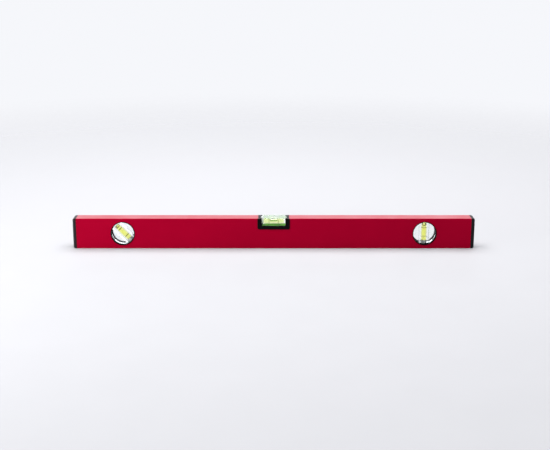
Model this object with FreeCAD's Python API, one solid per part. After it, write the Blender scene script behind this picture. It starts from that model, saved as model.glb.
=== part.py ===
import FreeCAD, Part
import math
import os

# A spirit level for carpentry: a painted aluminium box section with a horizontal vial let into
# its top edge, a 45 degree vial on the left and a plumb vial on the right, and two end caps.
# Millimetres. X runs along the level, Y through its thickness (front face at -Y), Z up.
# The origin is under the middle of the bottom measuring face.

Vector = FreeCAD.Vector
ORIGIN = Vector(0, 0, 0)
ALONG_X = Vector(1, 0, 0)
ALONG_Y = Vector(0, 1, 0)
ALONG_Z = Vector(0, 0, 1)

# Driving dimensions
overall_length = 600.0
overall_height = 46.0
overall_depth = 23.0
trim_proud = 0.5
cap_length = 5.4
window_offset = 225.4
window_radius = 16.9

# What the driving dimensions fix
profile_length = overall_length - 2 * cap_length
profile_depth = overall_depth - 2 * trim_proud
mid_height = overall_height / 2
slip = 0.05

# Body profile: one extruded box section
side_wall = 1.5
measuring_wall = 2.2
profile_outer_round = 0.7
profile_inner_round = 1.0
cavity_depth = profile_depth - 2 * side_wall

# Centre vial holder, a U that drops into a notch in the top of the profile
holder_width = 48.4
holder_drop = 16.8
holder_lap = 1.2
holder_round = 2.8
holder_bar = 5.6
top_inset = 0.15
holder_top = overall_height - top_inset
notch_width = holder_width - 2 * holder_lap
notch_floor = overall_height - holder_drop + holder_lap
notch_round = holder_round - holder_lap
lug_reach = 0.8
lug_height = 1.4
lug_length = 12.0

# Centre vial block, which slides into the holder from above on a tongue at each end
block_width = 35.0
block_depth = 21.0
block_roof = 1.2
block_chamfer = 0.5
tongue_reach = 1.6
tongue_depth = 10.0
bed_height = overall_height - holder_drop + holder_bar

# Vial bores, slightly barrel-shaped so that the bubble settles at the middle
bore_radius = 4.0
barrel_curve = 760.0
line_spacing = 13.8
line_width = 0.8
line_thickness = 0.3
plug_radius = 4.4
plug_chamfer = 0.4
centre_bore_half = 15.1
centre_axis_height = holder_top - block_roof - bore_radius

# Round windows: a clear capsule in two halves, held between a front and a rear bezel
bezel_lip = 1.2
bezel_wall = 0.65
lens_recess = 5.4
lens_thickness = 1.2
skirt_wall = 0.9
trim_round = 0.3
lens_radius = window_radius + bezel_wall - slip
lens_face = overall_depth / 2 - lens_recess
vial_width = 15.0
vial_depth = 2 * (lens_face - lens_thickness - slip)
vial_reach = lens_radius - skirt_wall - slip
window_bore_low = -12.4
window_bore_high = 14.4

# Bubbles, with the gap that each keeps from the bore it slides in
bubble_gap = 0.3
film = 0.05
centre_bubble_length = 11.8
centre_bubble_width = 6.4
centre_bubble_height = 3.8
centre_bubble_drop = 0.55
end_bubble_radius = 3.45
end_bubble_height = 4.0
end_bubble_round = 1.5

# End caps: a rounded flange, flush with both measuring faces, and a hollow plug that grips the
# inside of the profile
cap_round = 3.0
cap_edge_round = 0.7
cap_inset = 0.15
tongue_slip = 0.2
cap_tongue_length = 16.0
cap_tongue_wall = 1.8
cap_tongue_lead = 0.8
crush_rib_length = 12.0
crush_rib_radius = 0.8


def bar(x_span, y_span, z_span):
    """A box between the two ends of each span."""
    size = [high - low for low, high in (x_span, y_span, z_span)]
    return Part.makeBox(*size, Vector(x_span[0], y_span[0], z_span[0]))


def centred(width):
    """The span of a width that is centred on zero."""
    return (-width / 2, width / 2)


def disc(radius, y_span):
    """A cylinder about the Y axis."""
    return Part.makeCylinder(radius, y_span[1] - y_span[0], Vector(0, y_span[0], 0), ALONG_Y)


def rod(radius, z_span):
    """A cylinder about the Z axis."""
    return Part.makeCylinder(radius, z_span[1] - z_span[0], Vector(0, 0, z_span[0]), ALONG_Z)


def edges_along(shape, axis):
    """The straight edges of a shape that run along an axis."""
    straight = [e for e in shape.Edges if isinstance(e.Curve, Part.Line)]
    return [e for e in straight if abs(abs(e.tangentAt(e.FirstParameter).dot(axis)) - 1) < 1e-6]


def edges_at(edges, axis, place):
    """Those of the edges whose middle lies at a place along an axis."""
    return [e for e in edges if abs(e.CenterOfMass.dot(axis) - place) < 1e-6]


def circles_at(shape, axis, place):
    """The circular edges of a shape at a place along an axis."""
    return edges_at([e for e in shape.Edges if isinstance(e.Curve, Part.Circle)], axis, place)


def turned_and_placed(shape, tilt, x, z):
    """A shape built about the Z axis, tilted about Y by degrees and moved to its place."""
    placed = shape.copy()
    placed.rotate(ORIGIN, ALONG_Y, tilt)
    placed.translate(Vector(x, 0, z))
    return placed


# Body profile

def hanging_slab(width, floor, top, corner_round, y_span):
    """A slab with its two lower corners rounded, as the notch and the holder have."""
    slab = bar(centred(width), y_span, (floor, top))
    lower = edges_at(edges_along(slab, ALONG_Y), ALONG_Z, floor)
    return slab.makeFillet(corner_round, lower)


def make_body_profile():
    outer = bar(centred(profile_length), centred(profile_depth), (0, overall_height))
    outer = outer.makeFillet(profile_outer_round, edges_along(outer, ALONG_X))
    inner_z = (measuring_wall, overall_height - measuring_wall)
    inner = bar(centred(profile_length), centred(cavity_depth), inner_z)
    inner = inner.makeFillet(profile_inner_round, edges_along(inner, ALONG_X))
    profile = outer.cut(inner)
    hole = disc(window_radius + bezel_wall + slip, centred(overall_depth))
    for x in (-window_offset, window_offset):
        profile = profile.cut(turned_and_placed(hole, 0, x, mid_height))
    above = overall_height + holder_drop
    notch = hanging_slab(notch_width, notch_floor, above, notch_round, centred(overall_depth))
    return profile.cut(notch)


# End caps, modelled at the right-hand end

def make_right_end_cap():
    joint = profile_length / 2
    flange_y = centred(profile_depth - 2 * cap_inset)
    flange = bar((joint, overall_length / 2), flange_y, (0, overall_height))
    flange = flange.makeFillet(cap_edge_round, edges_along(flange, ALONG_X))
    flange = flange.makeFillet(cap_round, edges_at(flange.Edges, ALONG_X, overall_length / 2))

    start = joint - cap_tongue_length
    tongue_depth_y = cavity_depth - 2 * tongue_slip
    tongue_z = (measuring_wall + tongue_slip, overall_height - measuring_wall - tongue_slip)
    tongue = bar((start, joint), centred(tongue_depth_y), tongue_z)
    tongue = tongue.makeFillet(profile_inner_round, edges_along(tongue, ALONG_X))
    tongue = tongue.makeChamfer(cap_tongue_lead, edges_at(tongue.Edges, ALONG_X, start))
    hollow_z = (tongue_z[0] + cap_tongue_wall, tongue_z[1] - cap_tongue_wall)
    hollow = bar((start, joint), centred(tongue_depth_y - 2 * cap_tongue_wall), hollow_z)
    cap = flange.fuse(tongue.cut(hollow))

    # two crush ribs on each long side, which only just touch the walls of the profile
    rib_y = cavity_depth / 2 - crush_rib_radius
    rib = Part.makeCylinder(crush_rib_radius, crush_rib_length, ORIGIN, ALONG_X)
    for side in (-1, 1):
        for height in (overall_height / 3, overall_height * 2 / 3):
            placed = rib.copy()
            placed.translate(Vector(joint - crush_rib_length, side * rib_y, height))
            cap = cap.fuse(placed)
    return cap.removeSplitter()


# Centre vial holder

def make_centre_vial_holder():
    neck_width = notch_width - 2 * slip
    neck_floor = notch_floor + slip
    holder = hanging_slab(neck_width, neck_floor, holder_top, notch_round, centred(overall_depth))
    holder_floor = overall_height - holder_drop
    for face in (-1, 1):
        y_span = sorted((face * profile_depth / 2, face * overall_depth / 2))
        lip = hanging_slab(holder_width, holder_floor, holder_top, holder_round, y_span)
        outer_edges = edges_at(lip.Edges, ALONG_Y * face, overall_depth / 2)
        rim = [e for e in outer_edges if e.CenterOfMass.z < holder_top - slip]
        holder = holder.fuse(lip.makeFillet(trim_round, rim))
    # snap lugs under the top wall of the profile, sloped below so that they ride past it
    lug_top = overall_height - measuring_wall - slip
    root = notch_width / 2 - slip
    for side in (-1, 1):
        outline = [
            Vector(side * root, -lug_length / 2, lug_top),
            Vector(side * (root + lug_reach), -lug_length / 2, lug_top),
            Vector(side * root, -lug_length / 2, lug_top - lug_height),
        ]
        lug = Part.Face(Part.makePolygon(outline + outline[:1])).extrude(ALONG_Y * lug_length)
        holder = holder.fuse(lug)
    window = bar(centred(block_width + 2 * slip), centred(overall_depth), (bed_height, overall_height))
    groove_width = block_width + 2 * tongue_reach + 2 * slip
    groove = bar(centred(groove_width), centred(tongue_depth + 2 * slip), (bed_height, overall_height))
    return holder.cut(window).cut(groove).removeSplitter()


# What every vial has: a barrel-shaped bore, two reading lines and a plug

def bore_radius_at(place):
    """The radius of a bore, widest in the middle, at a place along its axis."""
    return bore_radius - place ** 2 / (2 * barrel_curve)


def make_bore(low, high):
    """The space inside a vial, standing along Z."""
    middle = (low + high) / 2
    foot = Vector(bore_radius_at(low), 0, low)
    waist = Vector(bore_radius_at(middle), 0, middle)
    head = Vector(bore_radius_at(high), 0, high)
    outline = Part.Wire([
        Part.makeLine(Vector(0, 0, low), foot),
        Part.Arc(foot, waist, head).toShape(),
        Part.makeLine(head, Vector(0, 0, high)),
        Part.makeLine(Vector(0, 0, high), Vector(0, 0, low)),
    ])
    return Part.Face(outline).revolve(ORIGIN, ALONG_Z, 360)


def make_line(bore, place):
    """A reading line: a thin ring let into the wall of the bore."""
    span = (place - line_width / 2, place + line_width / 2)
    return rod(bore_radius + line_thickness, span).cut(bore)


def make_plug(bottom, top):
    plug = rod(plug_radius - slip, (bottom, top))
    return plug.makeChamfer(plug_chamfer, circles_at(plug, ALONG_Z, bottom))


# Centre vial, standing along Z here and laid along X when it is placed

def make_centre_vial_block():
    body = bar(centred(block_width), centred(block_depth), (bed_height, holder_top))
    rims = edges_at(edges_along(body, ALONG_X), ALONG_Z, holder_top)
    body = body.makeChamfer(block_chamfer, rims)
    tongues_width = block_width + 2 * tongue_reach
    tongues = bar(centred(tongues_width), centred(tongue_depth), (bed_height, holder_top))
    return body.fuse(tongues).removeSplitter()


def make_centre_bubble(growth):
    """An air bubble with round ends, flattened against the roof of the bore, lying along X."""
    radius = centre_bubble_height / 2
    straight = centre_bubble_length - centre_bubble_height
    start = Vector(-straight / 2, 0, 0)
    capsule = Part.makeCylinder(radius + growth, straight, start, ALONG_X)
    for end in (-1, 1):
        ball = Part.makeSphere(radius + growth, Vector(end * straight / 2, 0, 0))
        capsule = capsule.fuse(ball)
    widen = FreeCAD.Matrix()
    widen.scale(Vector(1, centre_bubble_width / centre_bubble_height, 1))
    bubble = capsule.removeSplitter().transformGeometry(widen)
    bubble.translate(Vector(0, 0, centre_axis_height + bore_radius - centre_bubble_drop - radius))
    return bubble


# Round windows, built about the Y axis with the vial standing along Z

def make_bezel(face):
    """A black ring with a lip over the painted wall, for the front (-1) or the rear (+1)."""
    outside = face * overall_depth / 2
    wall_face = face * profile_depth / 2
    lip = disc(window_radius + bezel_lip, sorted((outside, wall_face)))
    lip = lip.makeFillet(trim_round, circles_at(lip, ALONG_Y, outside))
    tube = disc(window_radius + bezel_wall, sorted((wall_face, face * lens_face)))
    bore = disc(window_radius, sorted((outside, face * lens_face)))
    return lip.fuse(tube).cut(bore).removeSplitter()


def window_strip(width, reach, y_span):
    """A strip across a window, with arched ends at a distance from the axis."""
    strip = bar(centred(width), y_span, centred(2 * reach))
    return strip.common(disc(reach, y_span))


def make_lens(face):
    """Half of a clear capsule, with a pocket in its back for half of the vial block."""
    half = disc(lens_radius, sorted((face * lens_face, face * slip)))
    half = half.makeFillet(trim_round, circles_at(half, ALONG_Y, face * lens_face))
    inside = face * (lens_face - lens_thickness)
    pocket = window_strip(vial_width + 2 * slip, lens_radius - skirt_wall, sorted((inside, 0)))
    return half.cut(pocket)


def make_end_bubble(growth):
    """An air bubble that fills the upper end of an upright bore, rounded at both rims."""
    high = window_bore_high - bubble_gap + growth
    low = high - end_bubble_height - 2 * growth
    bubble = rod(end_bubble_radius + growth, (low, high))
    rims = circles_at(bubble, ALONG_Z, low) + circles_at(bubble, ALONG_Z, high)
    return bubble.makeFillet(end_bubble_round, rims)


def make_window(name, x, tilt):
    """Every node of one round window, by name."""
    plug_top = window_bore_low
    plug_bottom = -math.sqrt(vial_reach ** 2 - plug_radius ** 2) + slip
    bore = make_bore(window_bore_low, window_bore_high)
    upper_line = make_line(bore, line_spacing / 2)
    lower_line = make_line(bore, -line_spacing / 2)
    block = window_strip(vial_width, vial_reach, centred(vial_depth))
    block = block.cut(bore).cut(rod(plug_radius, (-lens_radius, plug_top)))
    pieces = {
        "bezel_front": make_bezel(-1),
        "bezel_rear": make_bezel(1),
        "lens_front": make_lens(-1),
        "lens_rear": make_lens(1),
        "vial_block": block.cut(upper_line).cut(lower_line),
        "vial_liquid": bore.cut(make_end_bubble(film)),
        "vial_bubble": make_end_bubble(0),
        "vial_plug": make_plug(plug_bottom, plug_top),
        "vial_line_upper": upper_line,
        "vial_line_lower": lower_line,
    }
    return {
        f"{name}_{piece}": turned_and_placed(shape, tilt, x, mid_height)
        for piece, shape in pieces.items()
    }


def make_centre_vial():
    """Every node of the centre vial, by name. Its plug is in the left-hand end."""
    bore = make_bore(-centre_bore_half, centre_bore_half)
    right_line = make_line(bore, line_spacing / 2)
    left_line = make_line(bore, -line_spacing / 2)
    block_end = block_width / 2 + tongue_reach
    seat = rod(plug_radius, (-block_end, -centre_bore_half))
    plug = make_plug(-block_end + slip, -centre_bore_half)
    lay_along_x = 90
    laid = [
        turned_and_placed(shape, lay_along_x, 0, centre_axis_height)
        for shape in (bore, seat, left_line, right_line, plug)
    ]
    bore, seat, left_line, right_line, plug = laid
    block = make_centre_vial_block().cut(bore).cut(seat)
    return {
        "centre_vial_block": block.cut(left_line).cut(right_line),
        "centre_vial_liquid": bore.cut(make_centre_bubble(film)),
        "centre_vial_bubble": make_centre_bubble(0),
        "centre_vial_plug": plug,
        "centre_vial_line_left": left_line,
        "centre_vial_line_right": right_line,
    }


right_end_cap = make_right_end_cap()
nodes = {
    "body_profile": make_body_profile(),
    "end_cap_right": right_end_cap,
    "end_cap_left": right_end_cap.mirror(ORIGIN, ALONG_X),
    "centre_vial_holder": make_centre_vial_holder(),
}
nodes.update(make_centre_vial())
nodes.update(make_window("angle", -window_offset, -45))
nodes.update(make_window("plumb", window_offset, 0))

os.makedirs("parts", exist_ok=True)
for node, shape in nodes.items():
    shape.exportStep(f"parts/{node}.step")
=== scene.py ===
import math

import bmesh
import bpy
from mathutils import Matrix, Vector


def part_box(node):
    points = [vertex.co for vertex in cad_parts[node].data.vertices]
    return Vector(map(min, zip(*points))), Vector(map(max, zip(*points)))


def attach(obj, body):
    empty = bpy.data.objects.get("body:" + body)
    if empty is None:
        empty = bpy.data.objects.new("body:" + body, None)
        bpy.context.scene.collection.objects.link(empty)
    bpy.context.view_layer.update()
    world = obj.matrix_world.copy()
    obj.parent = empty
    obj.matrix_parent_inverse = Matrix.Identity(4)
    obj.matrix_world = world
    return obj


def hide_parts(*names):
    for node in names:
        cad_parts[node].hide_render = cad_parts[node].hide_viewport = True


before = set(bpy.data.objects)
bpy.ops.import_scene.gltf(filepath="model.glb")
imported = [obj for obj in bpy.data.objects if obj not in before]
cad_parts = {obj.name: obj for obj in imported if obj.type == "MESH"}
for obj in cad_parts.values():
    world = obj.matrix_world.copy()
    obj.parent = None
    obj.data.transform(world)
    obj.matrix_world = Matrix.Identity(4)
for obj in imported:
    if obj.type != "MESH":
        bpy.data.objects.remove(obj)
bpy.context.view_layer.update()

mm = 0.001


# ---------------------------------------------------------------------------------------------
# Studio
# The level stands on a pale matt table top that fades into a white studio. A wide soft light hangs
# over it, a small one stands low at its left-hand end, and one behind it only puts a gloss on
# what faces up.
# ---------------------------------------------------------------------------------------------

camera_spot = Vector((0.002, -1.544, 0.447))
camera_pitch = math.radians(15)
level_gaze = math.radians(90)
camera_lens = 69.72
camera_sensor = 36.0

bpy.ops.object.select_all(action="DESELECT")
bpy.ops.object.camera_add(location=camera_spot, rotation=(level_gaze - camera_pitch, 0, 0))
camera = bpy.context.object
camera.data.lens = camera_lens
camera.data.sensor_width = camera_sensor
bpy.context.scene.camera = camera
bpy.context.scene.view_settings.view_transform = "Standard"


def node(tree, kind, inputs, **settings):
    """Adds a shader node. Each input is given its value, or the output socket that feeds it."""
    made = tree.nodes.new("ShaderNode" + kind)
    for setting, value in settings.items():
        setattr(made, setting, value)
    for socket, value in inputs.items():
        if isinstance(value, bpy.types.NodeSocket):
            tree.links.new(value, made.inputs[socket])
        else:
            made.inputs[socket].default_value = value
    return made


def start_material(name):
    """A new material, its node tree, its shader, and the object's own coordinates."""
    material = bpy.data.materials.new(name)
    material.use_nodes = True
    tree = material.node_tree
    place = node(tree, "TexCoord", {}).outputs["Object"]
    return material, tree, tree.nodes["Principled BSDF"], place


def stretched(tree, place, stretch):
    """The object's coordinates with each axis multiplied, so that a pattern is drawn out."""
    return node(tree, "Mapping", {"Vector": place, "Scale": stretch}).outputs["Vector"]


def grain(tree, place, size, detail=2.0):
    """An even noise from 0 to 1 whose lumps are about this many metres across."""
    inputs = {"Vector": place, "Scale": 1 / size, "Detail": detail}
    return node(tree, "TexNoise", inputs).outputs["Fac"]


# a noise seldom leaves the middle half of its range
noise_low = 0.25
noise_high = 0.75


def spread(tree, value, low, high):
    """Takes the middle half of a noise to the range from low to high."""
    inputs = {"Value": value, "From Min": noise_low, "From Max": noise_high, "To Min": low, "To Max": high}
    return node(tree, "MapRange", inputs).outputs["Result"]


def shades(tree, value, first, second):
    """Takes the middle half of a noise from one colour to another."""
    ramp = node(tree, "ValToRGB", {"Fac": value})
    stops = ((noise_low, first), (noise_high, second))
    for element, (position, colour) in zip(ramp.color_ramp.elements, stops):
        element.position = position
        element.color = (*colour, 1)
    return ramp.outputs["Color"]


def feed(tree, shader, colour, roughness):
    """Gives a shader the outputs that carry its colour and its roughness."""
    tree.links.new(colour, shader.inputs["Base Color"])
    tree.links.new(roughness, shader.inputs["Roughness"])


def relief(tree, shader, height, depth):
    """Raises the surface by a height from 0 to 1, at most depth metres."""
    bump = node(tree, "Bump", {"Height": height, "Distance": depth, "Strength": 1.0})
    tree.links.new(bump.outputs["Normal"], shader.inputs["Normal"])


floor_radius = 1.7
floor_solid_to = 0.45
floor_corners = 96
floor_drop = 0.02 * mm
floor_light = (0.402, 0.407, 0.424)
floor_dark = (0.392, 0.397, 0.414)
floor_specular = 0.06
floor_roughness = (0.55, 0.65)
mottle_size = 60 * mm

bpy.ops.mesh.primitive_circle_add(
    vertices=floor_corners, radius=floor_radius, fill_type="NGON", location=(0, 0, -floor_drop)
)
floor = bpy.context.object
floor.name = "table_top"
material, tree, shader, place = start_material("table_top_laminate")
mottle = grain(tree, place, mottle_size)
feed(tree, shader, shades(tree, mottle, floor_dark, floor_light), spread(tree, mottle, *floor_roughness))
shader.inputs["Specular IOR Level"].default_value = floor_specular
# towards its rim it fades into the white of the studio below it
from_level = node(tree, "VectorMath", {0: place}, operation="LENGTH").outputs["Value"]
fade_inputs = {
    "Value": from_level,
    "From Min": floor_solid_to,
    "From Max": floor_radius,
    "To Min": 1,
    "To Max": 0,
}
fade = node(tree, "MapRange", fade_inputs, interpolation_type="SMOOTHSTEP").outputs["Result"]
tree.links.new(fade, shader.inputs["Alpha"])
floor.data.materials.append(material)


def add_soft_light(name, spot, target, width, height, power, colour):
    """A rectangular soft light that faces a target."""
    bpy.ops.object.light_add(type="AREA", location=spot)
    lamp = bpy.context.object
    lamp.name = name
    lamp.rotation_euler = (Vector(target) - Vector(spot)).to_track_quat("-Z", "Y").to_euler()
    lamp.data.shape = "RECTANGLE"
    lamp.data.size = width
    lamp.data.size_y = height
    lamp.data.energy = power
    lamp.data.color = colour
    lamp.visible_camera = False
    return lamp


add_soft_light(
    "overhead_light", spot=(-0.15, 0.25, 1.9), target=(-0.15, 0.25, 0),
    width=2.6, height=2.3, power=118, colour=(1.0, 0.99, 1.0),
)
add_soft_light(
    "left_light", spot=(-1.0, -0.55, 0.12), target=(-0.1, 0, 0.02),
    width=0.5, height=0.2, power=11, colour=(1, 1, 1),
)
gloss_light = add_soft_light(
    "gloss_light", spot=(0, 3.0, 0.85), target=(0, 0, 0.1),
    width=4.6, height=0.9, power=30, colour=(0.94, 0.94, 1),
)
gloss_light.visible_diffuse = False

# the studio is white below the table top, and its walls darken upwards from there
studio_white = (0.92, 0.93, 0.965)
studio_grey = (0.5, 0.5, 0.5)
studio_dark = (0.12, 0.12, 0.12)
studio_levels = ((0.49, studio_white), (0.505, studio_grey), (0.7, studio_dark))
world = bpy.data.worlds.new("studio_walls")
bpy.context.scene.world = world
world.use_nodes = True
tree = world.node_tree
direction = node(tree, "TexCoord", {}).outputs["Generated"]
slope = node(tree, "SeparateXYZ", {"Vector": direction}).outputs["Z"]
rise = node(tree, "MapRange", {"Value": slope, "From Min": -1, "From Max": 1}).outputs["Result"]
wall = node(tree, "ValToRGB", {"Fac": rise})
wall.color_ramp.elements.new(studio_levels[1][0])
for element, (position, colour) in zip(wall.color_ramp.elements, studio_levels):
    element.position = position
    element.color = (*colour, 1)
tree.links.new(wall.outputs["Color"], tree.nodes["Background"].inputs["Color"])


# ---------------------------------------------------------------------------------------------
# Body profile
# One length of extruded aluminium box section, powder coated red, with two round holes bored
# through both walls and a notch milled in the top edge. The saw leaves its ends open.
# ---------------------------------------------------------------------------------------------

# how near a place counts as on it, and how straight an edge counts as along or across an axis
near = 0.01 * mm
along = 0.999
across = 0.1
facing_limit = 0.9
edge_break = 0.12 * mm
sharp_angle = math.radians(35)
smooth_angle = math.radians(40)
quarter_turn = math.radians(90)
half_turn = math.radians(180)


def make_active(piece):
    """Leaves one piece selected and active."""
    bpy.ops.object.select_all(action="DESELECT")
    piece.select_set(True)
    bpy.context.view_layer.objects.active = piece


def add_box(name, low, high):
    """A box between two corners."""
    bpy.ops.object.select_all(action="DESELECT")
    bpy.ops.mesh.primitive_cube_add(size=1, location=(Vector(low) + Vector(high)) / 2)
    made = bpy.context.object
    made.name = name
    made.scale = Vector(high) - Vector(low)
    bpy.ops.object.transform_apply(location=True, rotation=True, scale=True)
    return made


def add_disc(name, centre, radius, depth, corners=128):
    """A cylinder that lies along Y."""
    bpy.ops.object.select_all(action="DESELECT")
    bpy.ops.mesh.primitive_cylinder_add(
        vertices=corners, radius=radius, depth=depth, location=centre, rotation=(quarter_turn, 0, 0)
    )
    made = bpy.context.object
    made.name = name
    bpy.ops.object.transform_apply(location=True, rotation=True, scale=True)
    return made


def open_with_edges(piece, wanted):
    """Opens a piece in edit mode with the edges selected that a test of middle and direction picks."""
    make_active(piece)
    bpy.ops.object.mode_set(mode="EDIT")
    bpy.ops.mesh.select_mode(type="EDGE")
    bpy.ops.mesh.select_all(action="DESELECT")
    shape = bmesh.from_edit_mesh(piece.data)
    for edge in shape.edges:
        start, end = [corner.co for corner in edge.verts]
        edge.select_set(wanted((start + end) / 2, (end - start).normalized()))
    bmesh.update_edit_mesh(piece.data)


def open_with_faces(piece, wanted):
    """Opens a piece in edit mode with the faces selected that a test of centre and normal picks."""
    make_active(piece)
    bpy.ops.object.mode_set(mode="EDIT")
    bpy.ops.mesh.select_mode(type="FACE")
    bpy.ops.mesh.select_all(action="DESELECT")
    shape = bmesh.from_edit_mesh(piece.data)
    shape.normal_update()
    for face in shape.faces:
        face.select_set(wanted(face.calc_center_median(), face.normal))
    bmesh.update_edit_mesh(piece.data)


def round_edges(piece, wanted, radius, steps):
    """Rounds the edges of a piece that a test of middle and direction picks."""
    open_with_edges(piece, wanted)
    bpy.ops.mesh.bevel(offset=radius, segments=steps, affect="EDGES")
    bpy.ops.object.mode_set(mode="OBJECT")


def combine(piece, tool, how):
    """Joins a tool to a piece (UNION) or cuts it away (DIFFERENCE), and uses the tool up."""
    make_active(piece)
    boolean = piece.modifiers.new(how.lower(), "BOOLEAN")
    boolean.operation = how
    boolean.object = tool
    boolean.solver = "EXACT"
    bpy.ops.object.modifier_apply(modifier=boolean.name)
    bpy.data.objects.remove(tool)


def soften(piece, radius=edge_break, steps=2):
    """Breaks every sharp edge that is left, and shades the piece so that its flats stay flat."""
    make_active(piece)
    bevel = piece.modifiers.new("broken_edges", "BEVEL")
    bevel.width = radius
    bevel.segments = steps
    bevel.limit_method = "ANGLE"
    bevel.angle_limit = sharp_angle
    bevel.miter_outer = "MITER_ARC"
    bpy.ops.object.modifier_apply(modifier=bevel.name)
    shade(piece)


def shade(piece):
    """Smooth shading on the rounds, with the normals of the large faces kept true."""
    make_active(piece)
    bpy.ops.object.shade_smooth_by_angle(angle=smooth_angle)
    weighted = piece.modifiers.new("true_flats", "WEIGHTED_NORMAL")
    weighted.keep_sharp = True
    bpy.ops.object.modifier_apply(modifier=weighted.name)


def finish_piece(piece, material, body="level_body"):
    """Gives a piece its material, hides the part that it stands for, and hangs it on the body that it
    moves with.
    """
    piece.data.materials.clear()
    piece.data.materials.append(material)
    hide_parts(piece.name.removesuffix("_shell"))
    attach(piece, body)


profile_low, profile_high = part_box("body_profile")
holder_low, holder_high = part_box("centre_vial_holder")
side_wall = 1.5 * mm
measuring_wall = 2.2 * mm
profile_round = 0.7 * mm
cavity_round = 1.0 * mm
profile_edge_break = 0.15 * mm
holder_lap = 1.2 * mm
holder_corner = 2.8 * mm
corner_steps = 6
slip = 0.05 * mm
window_height = (profile_low.z + profile_high.z) / 2
# how far a cutting shape runs past what it cuts
past = 5 * mm


def runs_along(axis):
    """A test that picks the edges along an axis, 0 to 2."""
    return lambda middle, direction: abs(direction[axis]) > along


def lower_corners(floor_height):
    """A test that picks the two lower edges of a slab that run through its thickness."""
    return lambda middle, direction: abs(direction.y) > along and middle.z < floor_height + mm


def window_middle(name):
    """The middle of a round window, halfway through the profile."""
    window_low, window_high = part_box(f"{name}_lens_front")
    return Vector(((window_low.x + window_high.x) / 2, 0, window_height))


def window_radius(name):
    """The radius of a round window's clear part."""
    window_low, window_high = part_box(f"{name}_lens_front")
    return (window_high.x - window_low.x) / 2


profile = add_box("body_profile_shell", profile_low, profile_high)
round_edges(profile, runs_along(0), profile_round, steps=4)
cavity_inset = Vector((-past, side_wall, measuring_wall))
cavity = add_box("cavity", profile_low + cavity_inset, profile_high - cavity_inset)
round_edges(cavity, runs_along(0), cavity_round, steps=3)
combine(profile, cavity, "DIFFERENCE")
hole_length = profile_high.y - profile_low.y + past
for name in ("angle", "plumb"):
    hole = add_disc("hole", window_middle(name), window_radius(name) + 2 * slip, hole_length)
    combine(profile, hole, "DIFFERENCE")
notch_low = holder_low + Vector((holder_lap, -past, holder_lap))
notch_high = holder_high + Vector((-holder_lap, past, past))
notch = add_box("notch", notch_low, notch_high)
round_edges(notch, lower_corners(notch_low.z), holder_corner - holder_lap, corner_steps)
combine(profile, notch, "DIFFERENCE")
soften(profile, profile_edge_break)

paint_red = (0.290, 0.0006, 0.0150)
paint_deep = (0.272, 0.0005, 0.0138)
# painted highlight: the lighter red that is laid along the four long corners
edge_highlight_red = (0.38, 0.012, 0.032)
sheen_red = (1.0, 0.0, 0.12)
highlight_reach = 1.2 * mm
highlight_most = 0.55
highlight_patch_size = 6 * mm
coat_cloud_size = 45 * mm
coat_roughness = (0.30, 0.38)
peel_size = 0.9 * mm
drawn_size = 1.6 * mm
drawn_stretch = (0.006, 1, 1)
drawn_share = 0.35
skin_depth = 0.006 * mm


def reckon(tree, operation, *values):
    """One step of arithmetic between outputs or numbers."""
    return node(tree, "Math", dict(enumerate(values)), operation=operation).outputs[0]


material, tree, shader, place = start_material("powder_coated_red")
cloud = grain(tree, place, coat_cloud_size)
coat = shades(tree, cloud, paint_deep, paint_red)
# painted highlight: the nearer to the four long corners, the more of the noise shows as a lighter red
split = node(tree, "SeparateXYZ", {"Vector": place}).outputs
from_side = reckon(tree, "SUBTRACT", profile_high.y, reckon(tree, "ABSOLUTE", split["Y"]))
above_middle = reckon(tree, "SUBTRACT", split["Z"], window_height)
from_top = reckon(tree, "SUBTRACT", window_height, reckon(tree, "ABSOLUTE", above_middle))
from_edge = reckon(tree, "MAXIMUM", from_side, from_top)
edge_inputs = {"Value": from_edge, "From Max": highlight_reach, "To Min": highlight_most, "To Max": 0}
highlight_falloff = node(tree, "MapRange", edge_inputs).outputs["Result"]
painted_highlight = reckon(tree, "MULTIPLY", highlight_falloff, grain(tree, place, highlight_patch_size, detail=4))
highlighted_coat = node(tree, "MixRGB", {"Fac": painted_highlight, "Color1": coat, "Color2": (*edge_highlight_red, 1)})
feed(tree, shader, highlighted_coat.outputs["Color"], spread(tree, cloud, *coat_roughness))
# a satin coat with the faint lines of the extrusion under a fine orange peel
peel = grain(tree, place, peel_size)
drawn = grain(tree, stretched(tree, place, drawn_stretch), drawn_size)
skin = node(tree, "MixRGB", {"Fac": drawn_share, "Color1": peel, "Color2": drawn}).outputs["Color"]
relief(tree, shader, skin, skin_depth)
shader.inputs["Specular Tint"].default_value = (*sheen_red, 1)
finish_piece(profile, material)


# ---------------------------------------------------------------------------------------------
# End caps
# Two black polypropylene mouldings that are tapped into the ends of the profile. A rounded
# flange covers the saw cut, and a hollow plug with four crush ribs grips the inside.
# ---------------------------------------------------------------------------------------------

cap_low, cap_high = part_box("end_cap_right")
cap_rim_round = 3.0 * mm
cap_edge_round = 0.7 * mm
plug_slip = 0.2 * mm
plug_wall = 1.8 * mm
plug_corner = 1.0 * mm
plug_lead = 0.8 * mm
rib_radius = 0.8 * mm
rib_length = 12 * mm
rib_overlap = 0.4 * mm
rib_levels = (1 / 3, 2 / 3)
rib_corners = 24
hollow_floor = 0.5 * mm
flange_start = profile_high.x
plug_length = flange_start - cap_low.x
plug_half_depth = profile_high.y - side_wall - plug_slip
plug_half_height = window_height - measuring_wall - plug_slip
cap_middle = Vector((flange_start, 0, window_height))


def faces_at(axis, place, facing):
    """A test that picks the faces at a place along an axis, 0 to 2, which face up or down it."""
    return lambda centre, normal: (
        abs(centre[axis] - place) < near and normal[axis] * facing > facing_limit
    )


def push_in(distance):
    """Extrudes the selected faces along X."""
    bpy.ops.mesh.extrude_region_move(TRANSFORM_OT_translate={"value": (distance, 0, 0)})


right_cap = add_box("end_cap_right_shell", (flange_start, cap_low.y, cap_low.z), cap_high)
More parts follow.
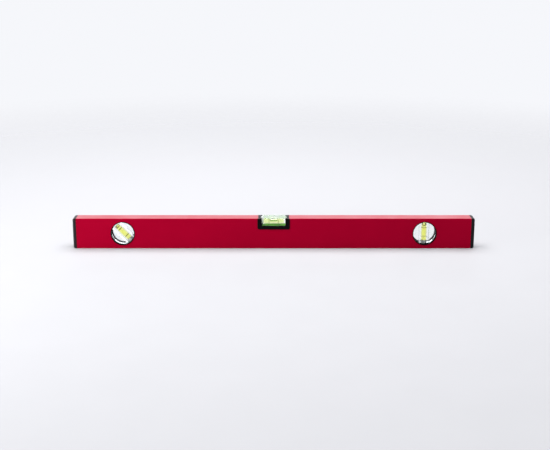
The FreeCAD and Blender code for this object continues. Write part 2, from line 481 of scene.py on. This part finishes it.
# the plug grows out of the inner face of the flange, and is hollow from its own end
open_with_faces(right_cap, faces_at(0, flange_start, -1))
plug_inset = cap_high.y - plug_half_depth
bpy.ops.mesh.inset(thickness=plug_inset, depth=0)
height_scale = plug_half_height / (window_height - plug_inset)
bpy.ops.transform.resize(value=(1, 1, height_scale), center_override=cap_middle)
push_in(-plug_length)
bpy.ops.mesh.inset(thickness=plug_wall, depth=0)
push_in(plug_length - hollow_floor)
bpy.ops.object.mode_set(mode="OBJECT")


def plug_corners(middle, direction):
    """Picks the four long outer corners of the plug."""
    outer = abs(abs(middle.y) - plug_half_depth) < near
    return abs(direction.x) > along and outer and middle.x < flange_start


def plug_mouth(middle, direction):
    """Picks the outer rim of the plug's open end, with the rounds at its corners."""
    reach = plug_corner + slip
    on_side = abs(abs(middle.y) - plug_half_depth) < reach
    on_top = abs(abs(middle.z - window_height) - plug_half_height) < reach
    return abs(middle.x - cap_low.x) < near and abs(direction.x) < across and (on_side or on_top)


round_edges(right_cap, plug_corners, plug_corner, steps=3)
round_edges(right_cap, plug_mouth, plug_lead, steps=1)

# the wide round of the outer rim and the small one of the long corners meet at each corner
open_with_edges(right_cap, lambda middle, direction: abs(middle.x - cap_high.x) < near)
bpy.ops.transform.edge_bevelweight(value=1)
bpy.ops.object.mode_set(mode="OBJECT")
open_with_edges(
    right_cap, lambda middle, direction: abs(direction.x) > along and middle.x > flange_start
)
bpy.ops.transform.edge_bevelweight(value=cap_edge_round / cap_rim_round)
bpy.ops.object.mode_set(mode="OBJECT")
rounding = right_cap.modifiers.new("rounded_flange", "BEVEL")
rounding.width = cap_rim_round
rounding.segments = corner_steps
rounding.limit_method = "WEIGHT"
rounding.use_clamp_overlap = False
bpy.ops.object.modifier_apply(modifier=rounding.name)

for side in (-1, 1):
    for level in rib_levels:
        rib_y = side * (profile_high.y - side_wall - rib_radius)
        rib_spot = (flange_start - rib_length / 2, rib_y, profile_high.z * level)
        bpy.ops.object.select_all(action="DESELECT")
        bpy.ops.mesh.primitive_cylinder_add(
            vertices=rib_corners, radius=rib_radius, depth=rib_length + rib_overlap, location=rib_spot,
            rotation=(0, quarter_turn, 0),
        )
        rib = bpy.context.object
        bpy.ops.object.transform_apply(location=True, rotation=True, scale=True)
        combine(right_cap, rib, "UNION")
soften(right_cap)

cap_black = (0.0045, 0.0040, 0.0050)
cap_charcoal = (0.0080, 0.0070, 0.0085)
cap_cloud_size = 8 * mm
scuff_size = 2.5 * mm
scuff_stretch = (1, 1, 0.2)
cap_roughness = (0.52, 0.40)
cap_pit_size = 0.35 * mm
cap_pit_depth = 0.02 * mm
cap_specular = 0.14
material, tree, shader, place = start_material("black_polypropylene")
# the spark-eroded texture of the mould, with a few handling scuffs that are smoother
cloud = grain(tree, place, cap_cloud_size)
scuffs = grain(tree, stretched(tree, place, scuff_stretch), scuff_size, detail=4)
feed(tree, shader, shades(tree, cloud, cap_black, cap_charcoal), spread(tree, scuffs, *cap_roughness))
relief(tree, shader, grain(tree, place, cap_pit_size, detail=3), cap_pit_depth)
shader.inputs["Specular IOR Level"].default_value = cap_specular
cap_plastic = material
finish_piece(right_cap, cap_plastic)


def apply_turn(piece, rotation):
    """Turns a finished mesh about the origin."""
    piece.rotation_euler = rotation
    bpy.ops.object.transform_apply(location=True, rotation=True, scale=True)


def apply_move(piece, step):
    """Moves a finished mesh."""
    piece.location = step
    bpy.ops.object.transform_apply(location=True, rotation=True, scale=True)


def copy_piece(piece, name):
    """A copy of a piece with its own mesh, free of what the piece was said to be."""
    make_active(piece)
    bpy.ops.object.duplicate(linked=False)
    copied = bpy.context.object
    copied.name = name
    for note in [note for note in copied.keys() if note.startswith("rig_")]:
        del copied[note]
    copied.parent = None
    return copied


left_cap = copy_piece(right_cap, "end_cap_left_shell")
apply_turn(left_cap, (0, 0, half_turn))
finish_piece(left_cap, cap_plastic)


# ---------------------------------------------------------------------------------------------
# Centre vial holder
# A black moulded saddle that drops into the notch from above. Its lips lap over the painted
# walls, and two sloped lugs snap under the top wall of the profile.
# ---------------------------------------------------------------------------------------------

block_low, block_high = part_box("centre_vial_block")
lip_rim_round = 0.3 * mm
lug_reach = 0.8 * mm
lug_height = 1.4 * mm
lug_length = 12 * mm
block_width = 35 * mm
tongue_depth = 10 * mm

neck_low = Vector((notch_low.x + slip, holder_low.y, notch_low.z + slip))
neck_high = Vector((notch_high.x - slip, holder_high.y, holder_high.z))
holder = add_box("centre_vial_holder_shell", neck_low, neck_high)
round_edges(holder, lower_corners(neck_low.z), holder_corner - holder_lap, corner_steps)
for side in (-1, 1):
    rear_y, front_y = sorted((side * profile_high.y, side * holder_high.y))
    lip_low = (holder_low.x, rear_y, holder_low.z)
    lip = add_box("lip", lip_low, (holder_high.x, front_y, holder_high.z))
    round_edges(lip, lower_corners(holder_low.z), holder_corner, corner_steps)
    outer_face = side * holder_high.y
    round_edges(
        lip,
        lambda middle, direction: abs(middle.y - outer_face) < near and middle.z < holder_high.z - near,
        lip_rim_round,
        steps=2,
    )
    combine(holder, lip, "UNION")
lug_top = holder_high.z - measuring_wall + 2 * slip
for side in (-1, 1):
    left_x, right_x = sorted((side * (neck_high.x - mm), side * (neck_high.x + lug_reach)))
    lug_low = (left_x, -lug_length / 2, lug_top - lug_height)
    lug = add_box("lug", lug_low, (right_x, lug_length / 2, lug_top))
    # the lower outer edge is moved in, which gives the slope that rides past the wall
    open_with_edges(
        lug,
        lambda middle, direction: abs(direction.y) > along
        and middle.z < lug_top - mm
        and abs(middle.x) > neck_high.x,
    )
    bpy.ops.transform.translate(value=(-side * lug_reach, 0, 0))
    bpy.ops.object.mode_set(mode="OBJECT")
    combine(holder, lug, "UNION")
opening_low = (-block_width / 2 - slip, -past - holder_high.y, block_low.z)
opening_high = (block_width / 2 + slip, past + holder_high.y, holder_high.z + past)
combine(holder, add_box("opening", opening_low, opening_high), "DIFFERENCE")
groove_half = tongue_depth / 2 + slip
groove_low = (block_low.x - slip, -groove_half, block_low.z)
groove_high = (block_high.x + slip, groove_half, holder_high.z + past)
combine(holder, add_box("groove", groove_low, groove_high), "DIFFERENCE")
soften(holder)

holder_black = (0.0015, 0.0014, 0.0017)
holder_charcoal = (0.0030, 0.0027, 0.0032)
holder_cloud_size = 6 * mm
holder_handling_size = 2 * mm
holder_roughness = (0.34, 0.44)
holder_pit_size = 0.3 * mm
holder_pit_depth = 0.012 * mm
holder_specular = 0.05
material, tree, shader, place = start_material("black_nylon")
cloud = shades(tree, grain(tree, place, holder_cloud_size), holder_black, holder_charcoal)
handled = grain(tree, place, holder_handling_size, detail=4)
feed(tree, shader, cloud, spread(tree, handled, *holder_roughness))
relief(tree, shader, grain(tree, place, holder_pit_size, detail=3), holder_pit_depth)
shader.inputs["Specular IOR Level"].default_value = holder_specular
finish_piece(holder, material)


# ---------------------------------------------------------------------------------------------
# Centre vial block
# A block of clear cast acrylic, polished on its faces and slid into the holder on a tongue at
# each end. Its underside is coloured green as painted shade, standing in for the spirit-tinted
# shade seen through the foot of the block.
# ---------------------------------------------------------------------------------------------

block_chamfer = 0.5 * mm

body_low = Vector((-block_width / 2, block_low.y, block_low.z + slip))
body_high = Vector((block_width / 2, block_high.y, block_high.z))
block = add_box("centre_vial_block_shell", body_low, body_high)
round_edges(
    block,
    lambda middle, direction: abs(direction.x) > along and middle.z > block_high.z - mm,
    block_chamfer,
    steps=1,
)
tongue_low = (block_low.x, -tongue_depth / 2, body_low.z)
tongues = add_box("tongues", tongue_low, (block_high.x, tongue_depth / 2, block_high.z))
combine(block, tongues, "UNION")
soften(block)

flow_size = 7 * mm
flow_depth = 0.01 * mm
hairline_size = 0.8 * mm
hairline_stretch = (1, 1, 0.15)
polish_roughness = (0.0, 0.035)


def clear_material(name, tint_low, tint_high, ior):
    """A polished clear solid: faint flow marks in its tint and gloss, and a barely wavy face."""
    material, tree, shader, place = start_material(name)
    flow = grain(tree, place, flow_size, detail=3)
    hairlines = grain(tree, stretched(tree, place, hairline_stretch), hairline_size, detail=4)
    tint = shades(tree, flow, tint_low, tint_high)
    feed(tree, shader, tint, spread(tree, hairlines, *polish_roughness))
    relief(tree, shader, flow, flow_depth)
    shader.inputs["Transmission Weight"].default_value = 1.0
    shader.inputs["IOR"].default_value = ior
    return material


acrylic_ior = 1.49
acrylic_tint = (0.985, 0.995, 0.988)
acrylic_clear = (1.0, 1.0, 0.998)
clear_acrylic = clear_material("clear_acrylic", acrylic_tint, acrylic_clear, acrylic_ior)
finish_piece(block, clear_acrylic)

# painted shade: the underside is coloured green for the spirit-tinted shade at the foot of the block, with
# no gloss between the two
shade_green_dark = (0.06, 0.21, 0.022)
shade_green_light = (0.09, 0.27, 0.038)
green_shade_roughness = (0.4, 0.6)
green_shade_ior = 1.0
green_noise_size = 0.5 * mm
green_noise_depth = 0.01 * mm
material, tree, shader, place = start_material("green_painted_shade")
green_noise = grain(tree, place, green_noise_size, detail=3)
painted_green_shade = shades(tree, green_noise, shade_green_dark, shade_green_light)
feed(tree, shader, painted_green_shade, spread(tree, green_noise, *green_shade_roughness))
relief(tree, shader, green_noise, green_noise_depth)
shader.inputs["IOR"].default_value = green_shade_ior
block.data.materials.append(material)
# the downward faces carry the painted green shade
for face in block.data.polygons:
    if face.normal.z < -facing_limit:
        face.material_index = 1


# ---------------------------------------------------------------------------------------------
# Spirit of the vials
# A yellow-green spirit fills each bore, which is ground very slightly barrel-shaped. It bends
# light almost as the acrylic does, so only its colour shows where it ends.
# ---------------------------------------------------------------------------------------------

bore_radius = 4.0 * mm
barrel_curve = 760 * mm
window_bore_foot = -12.4 * mm
window_bore_head = 14.4 * mm
bore_corners = 64
bore_rings = 12


def add_bore(name, foot, head, middle):
    """The filled space of a bore that stands along Z about a middle point."""
    bpy.ops.object.select_all(action="DESELECT")
    spot = middle + Vector((0, 0, (foot + head) / 2))
    bpy.ops.mesh.primitive_cylinder_add(
        vertices=bore_corners, radius=bore_radius, depth=head - foot, location=spot
    )
    made = bpy.context.object
    made.name = name
    bpy.ops.object.transform_apply(location=True, rotation=True, scale=True)
    # rings along the bore, each drawn in by what the barrel shape takes off there
    heights = [foot + (head - foot) * ring / bore_rings for ring in range(bore_rings + 1)]
    make_active(made)
    bpy.ops.object.mode_set(mode="EDIT")
    for height in heights[1:-1]:
        bpy.ops.mesh.select_all(action="SELECT")
        bpy.ops.mesh.bisect(plane_co=middle + Vector((0, 0, height)), plane_no=(0, 0, 1))
    bpy.ops.object.mode_set(mode="OBJECT")
    for height in heights:
        ring_middle = middle + Vector((0, 0, height))
        open_with_edges(
            made,
            lambda centre, direction: abs(centre.z - ring_middle.z) < near and abs(direction.z) < across,
        )
        drawn_in = 1 - height ** 2 / (2 * barrel_curve * bore_radius)
        bpy.ops.transform.resize(value=(drawn_in, drawn_in, 1), center_override=ring_middle)
        bpy.ops.object.mode_set(mode="OBJECT")
    return made


def lay_along_x(piece, pivot):
    """Lays a finished mesh that stands along Z down along X, through a pivot."""
    make_active(piece)
    apply_move(piece, -pivot)
    apply_turn(piece, (0, quarter_turn, 0))
    apply_move(piece, pivot)


spirit_ior = 1.0
spirit_tint = (0.99, 0.995, 0.97)
spirit_clear = (1.0, 1.0, 0.985)


def spirit_material(name, colour, density):
    """A clear spirit: a faintly clouded surface, with the colour in its depth."""
    material = clear_material(name, spirit_tint, spirit_clear, spirit_ior)
    tree = material.node_tree
    absorption = node(tree, "VolumeAbsorption", {"Color": (*colour, 1), "Density": density})
    tree.links.new(absorption.outputs["Volume"], tree.nodes["Material Output"].inputs["Volume"])
    return material


spirit_green = (0.84, 0.992, 0.07)
spirit_yellow = (1.0, 1.0, 0.002)
centre_spirit = spirit_material("green_spirit", spirit_green, density=130)
window_spirit = spirit_material("yellow_spirit", spirit_yellow, density=250)

liquid_low, liquid_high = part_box("centre_vial_liquid")
centre_axis = Vector((0, 0, (liquid_low.z + liquid_high.z) / 2))
centre_liquid = add_bore("centre_vial_liquid_shell", liquid_low.x, liquid_high.x, centre_axis)
lay_along_x(centre_liquid, centre_axis)
shade(centre_liquid)
finish_piece(centre_liquid, centre_spirit)


# ---------------------------------------------------------------------------------------------
# Bubbles
# The air that is left in each bore. Along the level it is a long bubble flattened against the
# roof of the bore. In a standing or slanting bore it is a short one that fills the upper end.
# ---------------------------------------------------------------------------------------------

air_ior = 0.74
air_roughness = 0.02
air_green = (0.96, 1.0, 0.93)
air_pale = (1.0, 1.0, 0.97)
ripple_size = 2 * mm
ripple_depth = 0.01 * mm
bubble_material = bpy.data.materials.new("vial_air")
bubble_material.use_nodes = True
tree = bubble_material.node_tree
tree.nodes.remove(tree.nodes["Principled BSDF"])
place = node(tree, "TexCoord", {}).outputs["Object"]
ripple = grain(tree, place, ripple_size)
ripple_bump = node(tree, "Bump", {"Height": ripple, "Distance": ripple_depth, "Strength": 1.0})
glass_inputs = {
    "Color": shades(tree, ripple, air_green, air_pale),
    "IOR": air_ior,
    "Roughness": air_roughness,
    "Normal": ripple_bump.outputs["Normal"],
}
glass = node(tree, "BsdfGlass", glass_inputs)
tree.links.new(glass.outputs["BSDF"], tree.nodes["Material Output"].inputs["Surface"])

bubble_low, bubble_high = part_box("centre_vial_bubble")
bubble_size = bubble_high - bubble_low
bubble_middle = (bubble_low + bubble_high) / 2
bpy.ops.object.select_all(action="DESELECT")
bpy.ops.mesh.primitive_uv_sphere_add(
    segments=48, ring_count=24, radius=bubble_size.z / 2, location=bubble_middle,
    rotation=(0, quarter_turn, 0),
)
centre_bubble = bpy.context.object
centre_bubble.name = "centre_vial_bubble_shell"
bpy.ops.object.transform_apply(location=True, rotation=True, scale=True)
# each half is drawn out along the bore, then the whole is widened across it
half_run = (bubble_size.x - bubble_size.z) / 2
for side in (-1, 1):
    make_active(centre_bubble)
    bpy.ops.object.mode_set(mode="EDIT")
    bpy.ops.mesh.select_mode(type="VERT")
    bpy.ops.mesh.select_all(action="DESELECT")
    shape = bmesh.from_edit_mesh(centre_bubble.data)
    for corner in shape.verts:
        corner.select_set(corner.co.x * side > 0.1 * near)
    bmesh.update_edit_mesh(centre_bubble.data)
    bpy.ops.transform.translate(value=(side * half_run, 0, 0))
    bpy.ops.object.mode_set(mode="OBJECT")
make_active(centre_bubble)
bpy.ops.object.mode_set(mode="EDIT")
bpy.ops.mesh.select_all(action="SELECT")
widening = bubble_size.y / bubble_size.z
bpy.ops.transform.resize(value=(1, widening, 1), center_override=bubble_middle)
bpy.ops.object.mode_set(mode="OBJECT")
shade(centre_bubble)
finish_piece(centre_bubble, bubble_material, body="centre_bubble")


# ---------------------------------------------------------------------------------------------
# Reading lines of the centre vial
# Two fine olive rings printed round the bore, a bubble's length and a little more apart.
# ---------------------------------------------------------------------------------------------

line_thickness = 0.2 * mm
line_edge_break = 0.03 * mm
centre_line_width = 0.6 * mm
ring_steps = 64


def add_ring(name, radius, width, middle):
    """A thin ring about Z, made from a short strip of wall spun round a middle point."""
    bpy.ops.object.select_all(action="DESELECT")
    strip_spot = middle + Vector((radius + line_thickness / 2, 0, 0))
    bpy.ops.mesh.primitive_plane_add(size=1, location=strip_spot, rotation=(quarter_turn, 0, 0))
    made = bpy.context.object
    made.name = name
    made.scale = (line_thickness, width, 1)
    bpy.ops.object.transform_apply(location=True, rotation=True, scale=True)
    spin_section(made, middle, (0, 0, 1), ring_steps)
    return made


def spin_section(piece, middle, axis, steps):
    """Spins the outline of a flat section once round an axis and closes the seam."""
    make_active(piece)
    bpy.ops.object.mode_set(mode="EDIT")
    bpy.ops.mesh.select_mode(type="FACE")
    bpy.ops.mesh.select_all(action="SELECT")
    bpy.ops.mesh.delete(type="ONLY_FACE")
    bpy.ops.mesh.select_mode(type="EDGE")
    bpy.ops.mesh.select_all(action="SELECT")
    bpy.ops.mesh.spin(steps=steps, angle=2 * half_turn, center=middle, axis=axis)
    bpy.ops.mesh.select_all(action="SELECT")
    bpy.ops.mesh.remove_doubles(threshold=near / 5)
    bpy.ops.mesh.normals_make_consistent(inside=False)
    bpy.ops.object.mode_set(mode="OBJECT")


ink_dark = (0.20, 0.23, 0.03)
ink_light = (0.30, 0.33, 0.06)
ink_roughness = (0.45, 0.65)
speckle_size = 0.25 * mm
speckle_depth = 0.004 * mm
material, tree, shader, place = start_material("line_ink")
speckle = grain(tree, place, speckle_size, detail=3)
feed(tree, shader, shades(tree, speckle, ink_dark, ink_light), spread(tree, speckle, *ink_roughness))
relief(tree, shader, speckle, speckle_depth)
line_ink = material

for side in ("left", "right"):
    line_low, line_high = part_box(f"centre_vial_line_{side}")
    line_middle = (line_low + line_high) / 2
    line = add_ring(f"centre_vial_line_{side}_shell", bore_radius, centre_line_width, line_middle)
    lay_along_x(line, line_middle)
    soften(line, line_edge_break, steps=1)
    finish_piece(line, line_ink)


# ---------------------------------------------------------------------------------------------
# Plugs
# A grey-green stopper is pressed into the open end of each bore and sealed there. It fills the
# end of the bore, and its outer rim is chamfered to find the hole.
# ---------------------------------------------------------------------------------------------

plug_chamfer = 0.4 * mm
plug_edge_break = 0.08 * mm
plug_rim = 0.9 * mm
dish_slope = 0.5 * mm
dish_depth = 0.4 * mm


def add_plug(name, bottom, top, radius, middle):
    """A stopper that stands along Z, with a chamfer at its foot and a dished outer end."""
    bpy.ops.object.select_all(action="DESELECT")
    spot = middle + Vector((0, 0, (bottom + top) / 2))
    bpy.ops.mesh.primitive_cylinder_add(
        vertices=bore_corners, radius=radius, depth=top - bottom, location=spot
    )
    made = bpy.context.object
    made.name = name
    bpy.ops.object.transform_apply(location=True, rotation=True, scale=True)
    foot = middle.z + bottom
    round_edges(
        made,
        lambda centre, direction: abs(centre.z - foot) < near and abs(direction.z) < across,
        plug_chamfer,
        steps=1,
    )
    open_with_faces(made, faces_at(2, foot, -1))
    bpy.ops.mesh.inset(thickness=plug_rim, depth=0)
    bpy.ops.mesh.inset(thickness=dish_slope, depth=-dish_depth)
    bpy.ops.object.mode_set(mode="OBJECT")
    soften(made, plug_edge_break)
    return made


stopper_dark = (0.70, 0.78, 0.70)
stopper_light = (0.82, 0.88, 0.80)
stopper_roughness = (0.25, 0.4)
stopper_clearness = 0.65
stopper_ior = 1.45
stopper_cloud_size = 1.5 * mm
stopper_relief = 0.02 * mm
material, tree, shader, place = start_material("stopper")
cloud = grain(tree, place, stopper_cloud_size, detail=3)
stopper_shades = shades(tree, cloud, stopper_dark, stopper_light)
feed(tree, shader, stopper_shades, spread(tree, cloud, *stopper_roughness))
relief(tree, shader, cloud, stopper_relief)
shader.inputs["Transmission Weight"].default_value = stopper_clearness
shader.inputs["IOR"].default_value = stopper_ior
stopper = material

plug_low, plug_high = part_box("centre_vial_plug")
plug_radius = (plug_high.y - plug_low.y) / 2
centre_plug = add_plug("centre_vial_plug_shell", plug_low.x, plug_high.x, plug_radius, centre_axis)
lay_along_x(centre_plug, centre_axis)
finish_piece(centre_plug, stopper)


# ---------------------------------------------------------------------------------------------
# Bezels of the round windows
# Four black rings pressed into the holes, two to a window. A thin lip hides the edge of the
# paint, and the tube behind it holds the clear window down.
# ---------------------------------------------------------------------------------------------

bezel_low, bezel_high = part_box("plumb_bezel_front")
bezel_middle = window_middle("plumb")
bezel_lip = 1.2 * mm
bezel_wall = 0.65 * mm
bezel_edge_break = 0.16 * mm
bezel_steps = 128
lip_radius = (bezel_high.x - bezel_low.x) / 2
clear_radius = lip_radius - bezel_lip


def add_section(name, middle, radii, depths):
    """A flat rectangle that stands out from a window's axis, ready to be shaped and spun."""
    bpy.ops.object.select_all(action="DESELECT")
    spot = middle + Vector((sum(radii) / 2, sum(depths) / 2, 0))
    bpy.ops.mesh.primitive_plane_add(size=1, location=spot)
    made = bpy.context.object
    made.name = name
    made.scale = (radii[1] - radii[0], depths[1] - depths[0], 1)
    bpy.ops.object.transform_apply(location=True, rotation=True, scale=True)
    return made


def join_section(piece):
    """Makes one face of a section that was cut and extruded."""
    make_active(piece)
    bpy.ops.object.mode_set(mode="EDIT")
    bpy.ops.mesh.select_mode(type="FACE")
    bpy.ops.mesh.select_all(action="SELECT")
    bpy.ops.mesh.dissolve_faces()
    bpy.ops.object.mode_set(mode="OBJECT")


bezel = add_section(
    "plumb_bezel_front_shell",
    bezel_middle,
    (clear_radius, clear_radius + bezel_wall),
    (bezel_low.y, bezel_high.y),
)
make_active(bezel)
bpy.ops.object.mode_set(mode="EDIT")
bpy.ops.mesh.select_all(action="SELECT")
bpy.ops.mesh.bisect(plane_co=(0, profile_low.y, 0), plane_no=(0, 1, 0))
bpy.ops.object.mode_set(mode="OBJECT")
outer_wall = bezel_middle.x + clear_radius + bezel_wall
open_with_edges(
    bezel,
    lambda middle, direction: abs(middle.x - outer_wall) < near and middle.y < profile_low.y,
)
push_in(bezel_lip - bezel_wall)
bpy.ops.object.mode_set(mode="OBJECT")
join_section(bezel)
spin_section(bezel, bezel_middle, (0, 1, 0), bezel_steps)
soften(bezel, bezel_edge_break, steps=3)

bezel_black = (0.003, 0.0028, 0.003)
bezel_charcoal = (0.006, 0.0055, 0.006)
bezel_cloud_size = 5 * mm
bezel_handling_size = 1.5 * mm
bezel_roughness = (0.50, 0.62)
bezel_pit_size = 0.25 * mm
bezel_pit_depth = 0.008 * mm
bezel_specular = 0.03
material, tree, shader, place = start_material("black_bezel")
cloud = shades(tree, grain(tree, place, bezel_cloud_size), bezel_black, bezel_charcoal)
handled = grain(tree, place, bezel_handling_size, detail=4)
feed(tree, shader, cloud, spread(tree, handled, *bezel_roughness))
relief(tree, shader, grain(tree, place, bezel_pit_size, detail=3), bezel_pit_depth)
shader.inputs["Specular IOR Level"].default_value = bezel_specular
bezel_plastic = material
finish_piece(bezel, bezel_plastic)

angle_tilt = math.radians(-45)


def set_down(piece, name, turn, tilt):
    """A copy of a plumb window's part, turned to face front or rear, and tilted, in the window
    that its name begins with."""
    copied = copy_piece(piece, name)
    apply_move(copied, -bezel_middle)
    apply_turn(copied, (0, 0, turn))
    apply_turn(copied, (0, tilt, 0))
    apply_move(copied, window_middle(name.split("_")[0]))
    return copied


finish_piece(set_down(bezel, "plumb_bezel_rear_shell", half_turn, 0), bezel_plastic)
for face, turn in (("front", 0), ("rear", half_turn)):
    made = set_down(bezel, f"angle_bezel_{face}_shell", turn, 0)
    finish_piece(made, bezel_plastic)


# ---------------------------------------------------------------------------------------------
# Clear windows
# Each round window is a clear moulded capsule in two halves, front and rear, which meet in the
# middle of the profile. A pocket in the back of each takes half of the vial block.
# ---------------------------------------------------------------------------------------------

lens_thickness = 1.2 * mm
skirt_wall = 0.9 * mm
vial_low, vial_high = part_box("plumb_vial_block")
vial_half_width = (vial_high.x - vial_low.x) / 2


def add_strip(name, middle, reach, half_width, depth):
    """A strip with arched ends, made from a disc along Y by slicing off its two sides."""
    made = add_disc(name, middle, reach, depth)
    for side in (-1, 1):
        make_active(made)
        bpy.ops.object.mode_set(mode="EDIT")
        bpy.ops.mesh.select_all(action="SELECT")
        slice_at = (middle.x + side * half_width, 0, 0)
        bpy.ops.mesh.bisect(plane_co=slice_at, plane_no=(side, 0, 0), use_fill=True, clear_outer=True)
        bpy.ops.object.mode_set(mode="OBJECT")
    return made


lens_low, lens_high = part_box("plumb_lens_front")
lens_radius = window_radius("plumb")
lens_depth = lens_high.y - lens_low.y
lens_middle = bezel_middle + Vector((0, (lens_low.y + lens_high.y) / 2, 0))
lens = add_disc("plumb_lens_front_shell", lens_middle, lens_radius, lens_depth)
pocket_middle = lens_middle + Vector((0, lens_thickness, 0))
pocket_half_width = vial_half_width + slip
pocket = add_strip("pocket", pocket_middle, lens_radius - skirt_wall, pocket_half_width, lens_depth)
combine(lens, pocket, "DIFFERENCE")
soften(lens)

window_tint = (0.955, 0.985, 0.975)
window_clear = (0.975, 0.995, 0.99)
lens_acrylic = clear_material("clear_window", window_tint, window_clear, acrylic_ior)
finish_piece(lens, lens_acrylic)

finish_piece(set_down(lens, "plumb_lens_rear_shell", half_turn, 0), lens_acrylic)
for face, turn in (("front", 0), ("rear", half_turn)):
    made = set_down(lens, f"angle_lens_{face}_shell", turn, angle_tilt)
    finish_piece(made, lens_acrylic)


# ---------------------------------------------------------------------------------------------
# Vials of the round windows
# A flat clear block with arched ends carries the bore, filled with spirit and stopped at its
# lower end. The upright one is made here, and the 45 degree one is the same set, tilted.
# ---------------------------------------------------------------------------------------------

vial_reach = lens_radius - skirt_wall - slip
vial_depth = vial_high.y - vial_low.y
end_bubble_radius = 3.45 * mm
end_bubble_round = 1.5 * mm
window_line_width = 0.5 * mm
vial_edge_round = 0.3 * mm

vial = add_strip("plumb_vial_block_shell", bezel_middle, vial_reach, vial_half_width, vial_depth)
soften(vial, vial_edge_round, steps=3)
finish_piece(vial, clear_acrylic)

liquid = add_bore("plumb_vial_liquid_shell", window_bore_foot, window_bore_head, bezel_middle)
shade(liquid)
finish_piece(liquid, window_spirit)

end_low, end_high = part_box("plumb_vial_bubble")
bpy.ops.object.select_all(action="DESELECT")
bpy.ops.mesh.primitive_cylinder_add(
    vertices=bore_corners, radius=end_bubble_radius, depth=end_high.z - end_low.z,
    location=(end_low + end_high) / 2,
)
bubble = bpy.context.object
bubble.name = "plumb_vial_bubble_shell"
bpy.ops.object.transform_apply(location=True, rotation=True, scale=True)
round_edges(bubble, lambda middle, direction: abs(direction.z) < across, end_bubble_round, steps=8)
shade(bubble)
finish_piece(bubble, bubble_material, body="plumb_bubble")

lines = {}
for level in ("upper", "lower"):
    line_low, line_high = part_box(f"plumb_vial_line_{level}")
    line_name = f"plumb_vial_line_{level}_shell"
    lines[level] = add_ring(line_name, bore_radius, window_line_width, (line_low + line_high) / 2)
    soften(lines[level], line_edge_break, steps=1)
    finish_piece(lines[level], line_ink)

plug_low, plug_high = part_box("plumb_vial_plug")
plug_foot = plug_low.z - window_height
plug = add_plug("plumb_vial_plug_shell", plug_foot, window_bore_foot, plug_radius, bezel_middle)
finish_piece(plug, stopper)

slanting = (
    (vial, "angle_vial_block_shell", clear_acrylic, "clear_acrylic", "level_body"),
    (liquid, "angle_vial_liquid_shell", window_spirit, "vial_liquid", "level_body"),
    (bubble, "angle_vial_bubble_shell", bubble_material, "bubble_air", "angle_bubble"),
    (lines["upper"], "angle_vial_line_upper_shell", line_ink, "line_ink", "level_body"),
    (lines["lower"], "angle_vial_line_lower_shell", line_ink, "line_ink", "level_body"),
    (plug, "angle_vial_plug_shell", stopper, "vial_plug", "level_body"),
)
for upright, name, finish, slot, body in slanting:
    finish_piece(set_down(upright, name, 0, angle_tilt), finish, body)
